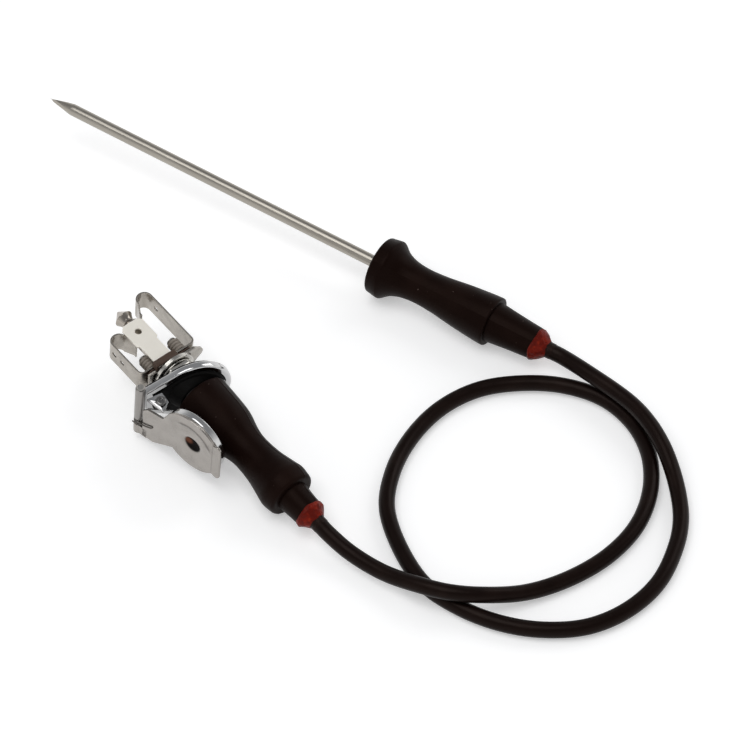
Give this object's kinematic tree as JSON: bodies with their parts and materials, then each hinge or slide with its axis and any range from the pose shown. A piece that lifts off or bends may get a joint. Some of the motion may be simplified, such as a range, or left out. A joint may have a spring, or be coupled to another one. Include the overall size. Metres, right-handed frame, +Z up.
{
  "type": "oven food temperature probe with jack plug and panel socket",
  "caption": "Steel needle temperature probe in a silicone handle, with a silicone cable and a jack plug that sits in a panel jack socket with a bezel and a hinged lid.",
  "frame": {"origin": "middle of the base of the box round everything but the free cable, on the surface that the object lies on", "axes": "+Z up, +Y along that box's longest side, towards the needle's tip, +X towards the cable's loops"},
  "size_m": [0.2064, 0.2134, 0.0279],
  "materials": {
    "steel": "satin stainless steel",
    "chrome": "bright chrome plate",
    "nickel": "nickel plate on brass or spring steel",
    "silicone": "near-black brown silicone, satin",
    "cable_skin": "near-black brown silicone, soft sheen",
    "sealant": "red-brown silicone sealant",
    "phenolic": "dark phenolic laminate",
    "fibre": "pressed fibre",
    "rubber": "black rubber",
    "plastic": "black moulded plastic",
    "copper": "tinned copper wire",
    "ceramic": "matt ceramic bead"
  },
  "bodies": {
    "probe_lead": {"needle_tube": "steel", "thermistor_bead": "ceramic", "sensor_lead_a": "copper", "sensor_lead_b": "copper", "needle_crimp": "steel", "probe_handle": "silicone", "probe_sleeve": "silicone", "probe_sealant": "sealant", "probe_cable_end": "cable_skin", "cable": "cable_skin", "plug_cable_end": "cable_skin", "plug_sealant": "sealant", "plug_sleeve": "silicone", "plug_handle": "silicone", "jack_tip": "nickel", "jack_insulator": "plastic", "jack_shank": "nickel", "tip_lug": "nickel", "sleeve_lug": "nickel", "tip_core": "copper", "sleeve_core": "copper"},
    "socket": {"jack_bushing": "nickel", "dress_nut": "nickel", "lock_nut": "nickel", "lock_washer": "steel", "jack_frame": "nickel", "rear_wafer": "phenolic", "rivet_right": "steel", "rivet_left": "steel", "rivet_bush_right": "fibre", "rivet_bush_left": "fibre", "tab_block": "phenolic", "faston_tab": "nickel"},
    "bezel": {"lid_bezel": "chrome", "panel_gasket": "rubber", "face_seal": "rubber", "hinge_pin": "steel"},
    "lid": {"lid_plate": "chrome", "lid_cup": "chrome", "lid_seal": "rubber", "lid_ear": "chrome", "ear_screw": "steel", "hinge_spring": "steel"},
    "tip_spring": {"tip_contact": "nickel"},
    "sleeve_spring": {"sleeve_contact": "nickel"}
  },
  "joints": [
    {"name": "socket_pull", "type": "slide", "parent": "probe_lead", "child": "socket", "axis": [-0.6401, 0.7602, 0.1112], "range_m": [0, 0.045]},
    {"name": "bezel_turn", "type": "hinge", "parent": "socket", "child": "bezel", "pos_m": [-0.03343, -0.03658, 0.01376], "axis": [0.6401, -0.7602, -0.1112], "continuous": true},
    {"name": "lid_swing", "type": "hinge", "parent": "bezel", "child": "lid", "pos_m": [-0.04968, -0.04511, 0.0142], "axis": [-0.0716, 0.085, -0.9938], "range_deg": [0, 50], "stiffness_Nm_per_rad": 0.004, "springref_deg": -68.75},
    {"name": "tip_contact_flex", "type": "hinge", "parent": "socket", "child": "tip_spring", "pos_m": [-0.03521, -0.02002, 0.0153], "axis": [-0.0716, 0.085, -0.9938], "range_deg": [0, 2], "stiffness_Nm_per_rad": 0.05, "springref_deg": -2.86},
    {"name": "sleeve_contact_flex", "type": "hinge", "parent": "socket", "child": "sleeve_spring", "pos_m": [-0.04944, -0.032, 0.0153], "axis": [0.0716, -0.085, 0.9938], "range_deg": [0, 2], "stiffness_Nm_per_rad": 0.05, "springref_deg": -2.86}
  ]
}
